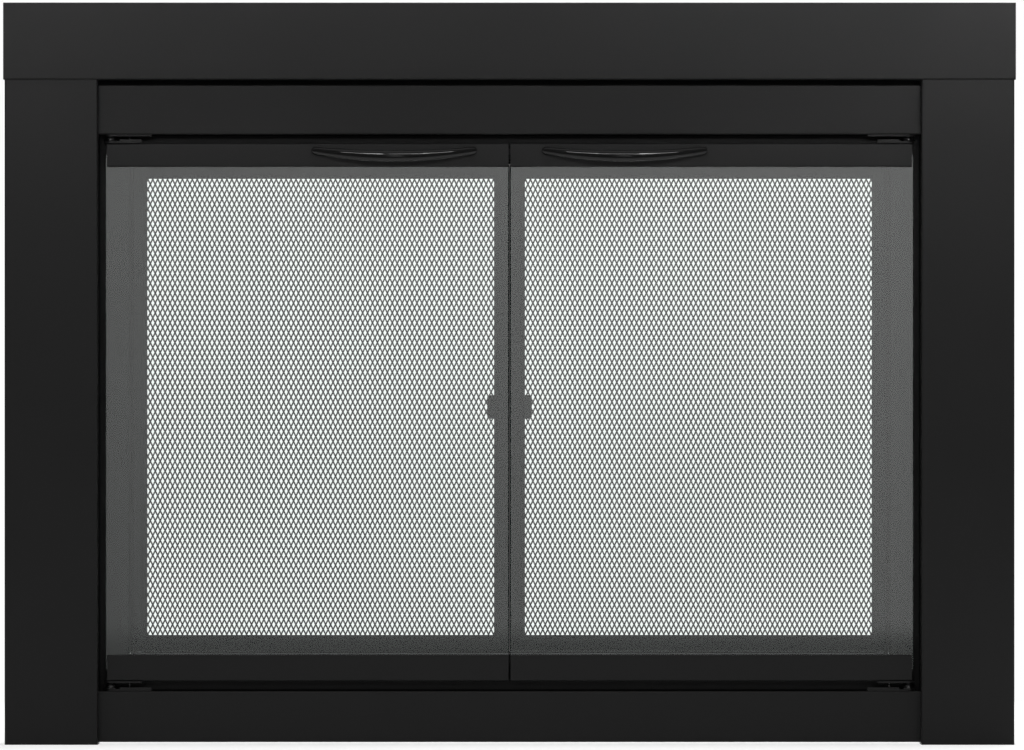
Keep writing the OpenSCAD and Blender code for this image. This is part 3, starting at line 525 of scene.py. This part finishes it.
def shank_rows(radius, start, end, pitch):
    """Rows of a thread from start down to end, with a tapered tip."""
    rows, height = [], start
    while height > end + TIP:
        rows.append((radius, height))
        height -= pitch / THREAD_ROWS
    return rows + [(radius, end + TIP)] + [(radius * r, end + TIP * h) for r, h in TIP_TAPER]


def cross_recess(verts, faces, steps, reach, half_width, depth):
    """Joins the open top ring of a turned form to a cross-shaped recess."""
    outline = []
    for quarter in range(4):
        turn = Matrix.Rotation(math.pi / 2 * quarter, 3, "Z")
        for x, y in ((reach, -half_width), (reach, half_width), (half_width, half_width)):
            outline.append(turn @ Vector((x, y, 0)))
    first = len(verts)
    verts += outline
    verts += [Vector((p.x * RECESS_FLOOR, p.y * RECESS_FLOOR, -depth)) for p in outline]
    count = len(outline)

    # Both rings are walked by their angle, and each step closes one triangle.
    rim = [(2 * math.pi * k / steps, k) for k in range(steps)]
    cross = [(math.atan2(p.y, p.x) % (2 * math.pi), first + k) for k, p in enumerate(outline)]
    cross = cross[1:] + cross[:1]
    i = j = 0
    while i < steps or j < count:
        next_rim = rim[(i + 1) % steps][0] + (2 * math.pi if i + 1 >= steps else 0)
        next_cross = cross[(j + 1) % count][0] + (2 * math.pi if j + 1 >= count else 0)
        here, inside = rim[i % steps][1], cross[j % count][1]
        if j >= count or (i < steps and next_rim <= next_cross):
            faces.append((inside, here, rim[(i + 1) % steps][1]))
            i += 1
        else:
            faces.append((inside, here, cross[(j + 1) % count][1]))
            j += 1

    for k in range(count):
        a, b = first + k, first + (k + 1) % count
        faces.append((a, b, b + count, a + count))
    faces.append(tuple(range(first + count, first + 2 * count)))


def screw_shape(head_r, shank_r, head_h, length, countersunk):
    """A screw with a cross recess, its head up at height 0."""
    root = shank_r * (1 - SCREW_THREAD)
    if countersunk:
        rows = [(head_r * FLUSH_EDGE[0], 0), (head_r, -head_h * FLUSH_EDGE[1]), (root, -head_h)]
    else:
        dome = [math.radians(a) for a in PAN_DOME]
        rows = [(head_r * math.sin(a), -head_h * PAN_DOME_HEIGHT
                 * (math.cos(dome[0]) - math.cos(a)) / math.cos(dome[0])) for a in dome]
        rows += [(head_r, -head_h * PAN_EDGE[1]), (head_r * PAN_EDGE[0], -head_h),
                 (root, -head_h)]
    rows += shank_rows(shank_r, -head_h - WELD, -length, SCREW_PITCH)
    helix = threaded(SCREW_PITCH, shank_r * SCREW_THREAD, -head_h)
    verts, faces = turned(rows, SCREW_STEPS, helix, "open top")
    cross_recess(verts, faces, SCREW_STEPS, head_r * RECESS_REACH, head_r * RECESS_HALF_WIDTH,
                 head_h * RECESS_DEPTH)
    return verts, faces


def make_screws():
    for node in frame["nodes"]:
        if node.endswith("_screws"):
            shapes = []
            for points in loose_parts(welded(node)):
                place, *sizes = measure(points)
                shapes.append(placed(screw_shape(*sizes), place))
            stand_for(node, form_of(shapes))


# ---------------------------------------------------------------- bolts and nuts

BOLT_STEPS = 36
BOLT_PITCH = 1.25 * MM
BOLT_THREAD = 0.16         # depth of its thread, of the shank's radius
BOLT_END = 0.8             # radius of its flat end, of the shank's
CHAMFER_FALL = 0.55        # of a hexagon's corners, for each metre they are cut back
CHAMFER_STEPS = 3
NUT_MOUTH = 1.1            # radius of the bore's mouths, of the bore's
NUT_MOUTH_DEPTH = 0.1


def hexagon(corner_r, angle):
    """Distance from the middle to the side of a hexagon whose corner lies at angle 0."""
    flat = corner_r * math.cos(math.pi / 6)
    return flat / math.cos(angle % (math.pi / 3) - math.pi / 6)


def chamfer_rows(corner_r, top, bottom):
    """Rows of a hexagon's chamfered height, from top down to bottom."""
    flat = corner_r * math.cos(math.pi / 6)
    cut = corner_r - flat
    fall = cut * CHAMFER_FALL
    edge = [(flat + cut * k / CHAMFER_STEPS, fall * k / CHAMFER_STEPS)
            for k in range(CHAMFER_STEPS + 1)]
    return [(r, top - h) for r, h in edge] + [(r, bottom + h) for r, h in reversed(edge)]


def bolt_shape(corner_r, shank_r, head_h, length):
    """A bolt with a hexagon head and a flat end, its head up at height 0."""
    helix = threaded(BOLT_PITCH, shank_r * BOLT_THREAD, -head_h)

    def radius_at(radius, height, angle):
        if height < -head_h:
            return helix(radius, height, angle)
        return min(radius, hexagon(corner_r, angle))

    rows = chamfer_rows(corner_r, 0, -head_h)
    rows += [(shank_r, -head_h)]
    rows += shank_rows(shank_r, -head_h - WELD, -length, BOLT_PITCH)[:-len(TIP_TAPER)]
    rows += [(shank_r * BOLT_END, -length)]
    return turned(rows, BOLT_STEPS, radius_at)


def nut_shape(corner_r, bore_r, height):
    mouth_r, mouth_h = bore_r * NUT_MOUTH, bore_r * NUT_MOUTH_DEPTH
    rows = chamfer_rows(corner_r, 0, -height)
    rows += [(mouth_r, -height), (bore_r, -height + mouth_h), (bore_r, -mouth_h), (mouth_r, 0)]
    return turned(rows, BOLT_STEPS, lambda r, z, a: min(r, hexagon(corner_r, a)), "ring")


def make_clamp_hardware():
    bolts, nuts = [], []
    for points in loose_parts(welded("clamp_bolts")):
        place, corner_r, shank_r, head_h, length, _ = measure(points)
        bolts.append(placed(bolt_shape(corner_r, shank_r, head_h, length), place))
    for points in loose_parts(welded("clamp_nuts")):
        place, corner_r, bore_r, _, height, _ = measure(points)
        nuts.append(placed(nut_shape(corner_r, bore_r, height), place))
    stand_for("clamp_bolts", form_of(bolts))
    stand_for("clamp_nuts", form_of(nuts))


# ---------------------------------------------------------------- bow handles

HANDLE_BAR = 6 * MM         # thickness of the bar
HANDLE_END = 8.2 * MM       # height of its face at the ends
HANDLE_SAG = 4.5 * MM       # how far its top edge droops in the middle
HANDLE_FOOT_R = 4 * MM
HANDLE_FOOT_NECK = 0.86     # radius of a foot above its rim, of the rim's
HANDLE_FOOT_RIM = 0.6 * MM
HANDLE_FOOT_STEPS = 36
HANDLE_FOOT_INSET = 7 * MM  # from a foot's middle to the end of the bar
HANDLE_STEPS = 56
HANDLE_TIPS = (15, 30, 45, 60, 73, 83, 88)   # sections of a round end, in degrees
HANDLE_ROUND = 24           # points round the section
HANDLE_POWER = 2.5          # of the section: 2 is an ellipse, more is squarer


def handle_section(x, low, high):
    """Middle and half sizes in Y and Z of the bar at a distance x from its middle."""
    half = (high.x - low.x) / 2
    rise = high.y - low.y - HANDLE_BAR
    outer = (half ** 2 + rise ** 2) / (2 * rise)
    centre_y = low.y + outer
    front = centre_y - math.sqrt(outer ** 2 - x ** 2)
    back = min(centre_y - math.sqrt((outer - HANDLE_BAR) ** 2 - x ** 2), high.y)
    end_r = HANDLE_END / 2
    line_z = high.z - end_r
    run = half - end_r
    if abs(x) > run:
        rounding = math.sqrt(max(end_r ** 2 - (abs(x) - run) ** 2, 0))
        top, bottom = line_z + rounding, line_z - rounding
    else:
        share = (x / run) ** 2
        top = high.z - HANDLE_SAG * (1 - share)
        bottom = low.z + (line_z - end_r - low.z) * share
    return (front + back) / 2, (top + bottom) / 2, (back - front) / 2, (top - bottom) / 2


def handle_bar(low, high):
    """The bow: bent forward in plan, with a drooping face that is taller in its middle."""
    middle_x = (low.x + high.x) / 2
    run = (high.x - low.x) / 2 - HANDLE_END / 2
    inner = [run * (2 * k / HANDLE_STEPS - 1) for k in range(HANDLE_STEPS + 1)]
    tips = [run + HANDLE_END / 2 * math.sin(math.radians(a)) for a in HANDLE_TIPS]
    stations = [-x for x in reversed(tips)] + inner + tips
    power = 2 / HANDLE_POWER
    verts = []
    for x in stations:
        y, z, half_y, half_z = handle_section(x, low, high)
        for k in range(HANDLE_ROUND):
            angle = 2 * math.pi * k / HANDLE_ROUND
            c, s = math.cos(angle), math.sin(angle)
            verts.append(Vector((middle_x + x,
                                 y + half_y * math.copysign(abs(c) ** power, c),
                                 z + half_z * math.copysign(abs(s) ** power, s))))
    # The sections run the other way round than a turned form's rings.
    faces = [(a, d, c, b) for a, b, c, d in bands_between(len(stations), HANDLE_ROUND)]
    last = (len(stations) - 1) * HANDLE_ROUND
    faces.append(tuple(reversed(range(HANDLE_ROUND))))
    faces.append(tuple(range(last, last + HANDLE_ROUND)))
    return verts, faces


def make_handles():
    for side in SIDES:
        node = side + "_door_handle"
        low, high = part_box(node)
        foot_x = (high.x - low.x) / 2 - HANDLE_FOOT_INSET
        bar_y = handle_section(foot_x, low, high)[0]
        neck_r = HANDLE_FOOT_R * HANDLE_FOOT_NECK
        foot = turned([(HANDLE_FOOT_R, 0), (neck_r, -HANDLE_FOOT_RIM), (neck_r, bar_y - high.y)],
                      HANDLE_FOOT_STEPS)
        shapes = [handle_bar(low, high)]
        for sign in (-1, 1):
            place = Vector(((low.x + high.x) / 2 + sign * foot_x, high.y,
                            high.z - HANDLE_END / 2))
            turn = Matrix.Rotation(math.radians(-90), 4, "X")
            shapes.append(placed(foot, Matrix.Translation(place) @ turn))
        stand_for(node, form_of(shapes))


# ---------------------------------------------------------------- mesh gates

MESH_PITCH = (5.43 * MM, 10.86 * MM)   # width and height of one diamond, strand to strand
STRAND = 1.6 * MM
STRAND_TWIST = 0.28 * MM               # how far a strand's two edges differ in depth
MESH_SHEET = 0.8 * MM
LEFT, BOTTOM, RIGHT, TOP = range(4)    # the corners of a bond


def expanded_metal(low, high):
    """One sheet of expanded metal between two corners, as verts and faces.

    Four short strands meet in each bond. Its four corners lie where the openings round it
    end, and bonds holds the number of its left corner.
    """
    width, height = high.x - low.x, high.z - low.z
    columns = 2 * round(width / MESH_PITCH[0])
    rows = 2 * round(height / MESH_PITCH[1])
    half = Vector((width / columns, height / rows))
    reach = half.x * half.y / half.length
    corner = half * (STRAND / 2 / reach)
    middle = (low.y + high.y) / 2
    corners = ((-corner.x, 0, -1), (0, -corner.y, 0), (corner.x, 0, 1), (0, corner.y, 0))
    verts, bonds = [], {}
    for i in range(columns + 1):
        for j in range(rows + 1):
            if (i + j) % 2:
                bonds[i, j] = len(verts)
                for dx, dz, turn in corners:
                    x = min(max(low.x + i * half.x + dx, low.x), high.x)
                    z = min(max(low.z + j * half.y + dz, low.z), high.z)
                    verts.append((x, middle - MESH_SHEET / 2 + turn * STRAND_TWIST / 2, z))
    front = []
    for (i, j), bond in bonds.items():
        front.append((bond + LEFT, bond + BOTTOM, bond + RIGHT, bond + TOP))
        if (i + 1, j + 1) in bonds:
            other = bonds[i + 1, j + 1]
            front.append((bond + RIGHT, other + BOTTOM, other + LEFT, bond + TOP))
        if (i + 1, j - 1) in bonds:
            other = bonds[i + 1, j - 1]
            front.append((bond + BOTTOM, other + LEFT, other + TOP, bond + RIGHT))
    return thicken(verts, front, MESH_SHEET)


def thicken(verts, front, thickness):
    """Closes a one-sided sheet: a copy of it further back, and a wall along each free edge."""
    count = len(verts)
    verts = verts + [(x, y + thickness, z) for x, y, z in verts]
    faces = front + [tuple(count + v for v in reversed(face)) for face in front]
    used = {(face[k - 1], face[k]) for face in front for k in range(len(face))}
    faces += [(b, a, a + count, b + count) for a, b in used if (b, a) not in used]
    return verts, faces


def make_meshes():
    for side in SIDES:
        node = side + "_gate_mesh"
        stand_for(node, form_of([expanded_metal(*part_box(node))]))


# ---------------------------------------------------------------- camera

PHOTO_SIZE = (1024, 750)
PIXEL = 1.0908 * MM        # what one pixel of the photograph shows of the object
PHOTO_MIDDLE_X = 509.5     # the object's middle, in pixels from the left
PHOTO_FOOT_Y = 745         # its foot, in pixels from the top
CAMERA_AWAY = 12.0         # in front of the frame's origin
CAMERA_CLIP = (1, 100)     # nearest and farthest that it shows
SENSOR = 36.0              # width, in millimetres


def make_camera():
    """A long lens straight in front, framed as in the photograph."""
    data = bpy.data.cameras.new("camera")
    data.sensor_width = SENSOR
    away_from_front = CAMERA_AWAY + cad_box[0].y
    data.lens = SENSOR * away_from_front / (PHOTO_SIZE[0] * PIXEL)
    data.clip_start, data.clip_end = CAMERA_CLIP
    camera = bpy.data.objects.new("camera", data)
    x = (PHOTO_SIZE[0] / 2 - PHOTO_MIDDLE_X) * PIXEL
    z = (PHOTO_FOOT_Y - PHOTO_SIZE[1] / 2) * PIXEL
    camera.location = (x, -CAMERA_AWAY, z)
    camera.rotation_euler = (math.radians(90), 0, 0)
    bpy.context.scene.collection.objects.link(camera)
    bpy.context.scene.camera = camera


# ---------------------------------------------------------------- lamps

# The keys light the upper part, the strips the front, and the last two the other sides.
LAMPS = (
    # name, place, what it points at, width and height, watts, spread in degrees, seen in gloss
    ("left_key", (-0.7, -2.2, 1.25), (-0.56, 0, 1.05), (0.6, 0.3), 0.74, 36, True),
    ("middle_key", (0.05, -2.2, 1.25), (0.04, 0, 1.05), (0.6, 0.3), 0.3, 36, True),
    ("right_key", (0.75, -2.2, 1.25), (0.6, 0, 1.05), (0.6, 0.3), 1.2, 36, True),
    ("left_strip", (-1.9, -5.7, 1.95), (0, 0, 0.64), (2.4, 0.22), 26, 180, True),
    ("right_strip", (1.9, -5.7, 1.95), (0, 0, 0.64), (2.4, 0.22), 30, 180, True),
    ("top", (0.2, -0.1, 2.6), (0, 0, 0.6), (2.4, 1.2), 105, 180, False),
    ("back", (0.4, 2.4, 1.7), (0, 0, 0.4), (1.8, 1.2), 75, 180, True),
)


def area_light(name, place, target, size, power, spread, in_gloss):
    """A soft lamp, which the camera and glass don't show."""
    data = bpy.data.lights.new(name, "AREA")
    data.shape = "RECTANGLE"
    data.size, data.size_y = size
    data.energy = power
    data.spread = math.radians(spread)
    light = bpy.data.objects.new(name, data)
    light.location = place
    light.rotation_euler = (Vector(target) - Vector(place)).to_track_quat("-Z", "Y").to_euler()
    light.visible_camera = False
    light.visible_transmission = False
    light.visible_glossy = in_gloss
    bpy.context.scene.collection.objects.link(light)


def make_lights():
    for lamp in LAMPS:
        area_light(*lamp)


# ---------------------------------------------------------------- world and floor

WHITE = (1, 1, 1, 1)
MATT_LEVEL = 0.12          # even light on matt surfaces

# What gloss sees: a card behind the camera, and dimmer light beyond it. Heights and slopes
# are those of the direction seen, a vector of length 1.
CARD_EDGE = (0.9962, 0.9983)    # cosine from straight in front: where the card ends, is full
CARD_FOOT = (-0.0252, -0.0225)  # height of its lower edge: where it ends, is full
CARD_MIDDLE = 1.38              # its level in the middle
CARD_SLOPE = (7.9, 0.0, 21.6)   # how it brightens to the right and upward
CARD_RANGE = (-1.0, 0.8)        # the most that the slope takes off and adds
CARD_BEYOND = 0.12              # level past the card
OVERHEAD = 0.8                  # level straight above
OVERHEAD_RISE = (0.3, 0.8)      # height over which the one turns to the other


def make_world():
    """White to the camera and to glass. Gloss sees a white card behind the camera, which is
    brightest at its upper right; matt surfaces get a low, even light.
    """
    world = bpy.data.worlds.new("studio")
    bpy.context.scene.world = world
    world.use_nodes = True
    world.node_tree.nodes.clear()
    rays = add_node(world, "ShaderNodeLightPath").outputs
    direction = add_node(world, "ShaderNodeTexCoord").outputs["Generated"]

    def along(vector):
        """How far the direction seen points along a vector."""
        node = add_node(world, "ShaderNodeVectorMath", operation="DOT_PRODUCT")
        node.inputs[1].default_value = vector
        link(world, direction, node.inputs[0])
        return node.outputs["Value"]

    def smooth(value, source, target):
        return map_range(world, value, source, target, "SMOOTHSTEP")

    def background(level):
        node = add_node(world, "ShaderNodeBackground", Color=WHITE)
        if isinstance(level, float):
            node.inputs["Strength"].default_value = level
        else:
            link(world, level, node.inputs["Strength"])
        return node

    height = along((0, 0, 1))
    slope = add_node(world, "ShaderNodeClamp", Min=CARD_RANGE[0], Max=CARD_RANGE[1])
    link(world, along(CARD_SLOPE), slope.inputs["Value"])
    card = background(calculate(world, "ADD", slope.outputs["Result"], CARD_MIDDLE))
    on_card = calculate(world, "MULTIPLY", smooth(along((0, -1, 0)), CARD_EDGE, (0.0, 1.0)),
                        smooth(height, CARD_FOOT, (0.0, 1.0)))
    beyond = background(smooth(height, OVERHEAD_RISE, (CARD_BEYOND, OVERHEAD)))
    seen = mix_shaders(world, on_card, beyond, card)
    seen = mix_shaders(world, rays["Is Glossy Ray"], background(MATT_LEVEL), seen)
    seen = mix_shaders(world, rays["Is Transmission Ray"], seen, background(1.0))
    seen = mix_shaders(world, rays["Is Camera Ray"], seen, background(1.0))
    out = add_node(world, "ShaderNodeOutputWorld")
    link(world, seen.outputs[0], out.inputs["Surface"])


FLOOR_HALF_X = 3.0
FLOOR_FRONT, FLOOR_BACK = -3.0, 1.5
FLOOR_GLOW = (0.55, 1.0)   # share of the floor that glows white: near the object, and far off
FLOOR_NEAR = (0.8, 2.4)    # how far from the middle near ends and far off begins


def make_floor():
    """A pale floor with the object's shadow on it, which turns white away from the object."""
    mesh = bpy.data.meshes.new("floor")
    corners = [(-FLOOR_HALF_X, FLOOR_FRONT, 0), (FLOOR_HALF_X, FLOOR_FRONT, 0),
               (FLOOR_HALF_X, FLOOR_BACK, 0), (-FLOOR_HALF_X, FLOOR_BACK, 0)]
    mesh.from_pydata(corners, [], [(0, 1, 2, 3)])
    floor = bpy.data.objects.new("floor", mesh)
    bpy.context.scene.collection.objects.link(floor)
    material = new_material("floor", Base_Color=(0.86, 0.86, 0.86, 1), Roughness=0.9,
                            Specular_IOR_Level=0.1)
    rays = add_node(material, "ShaderNodeLightPath").outputs
    shown = calculate(material, "MAXIMUM", rays["Is Camera Ray"], rays["Is Transmission Ray"])
    away = add_node(material, "ShaderNodeVectorMath", operation="LENGTH")
    link(material, place_of(material), away.inputs[0])
    far = map_range(material, away.outputs["Value"], FLOOR_NEAR, FLOOR_GLOW, "SMOOTHSTEP")
    glow = add_node(material, "ShaderNodeEmission", Strength=1.0)
    mix = mix_shaders(material, calculate(material, "MULTIPLY", shown, far),
                      shader_of(material), glow)
    link(material, mix.outputs[0], material.node_tree.nodes["Material Output"].inputs["Surface"])
    mesh.materials.append(material)


make_camera()
make_world()
make_lights()
make_floor()
paint_frame()
make_softened()
make_gate_frames()
make_glass()
make_screws()
make_clamp_hardware()
make_handles()
make_meshes()

scene = bpy.context.scene
scene.view_settings.view_transform = "Standard"
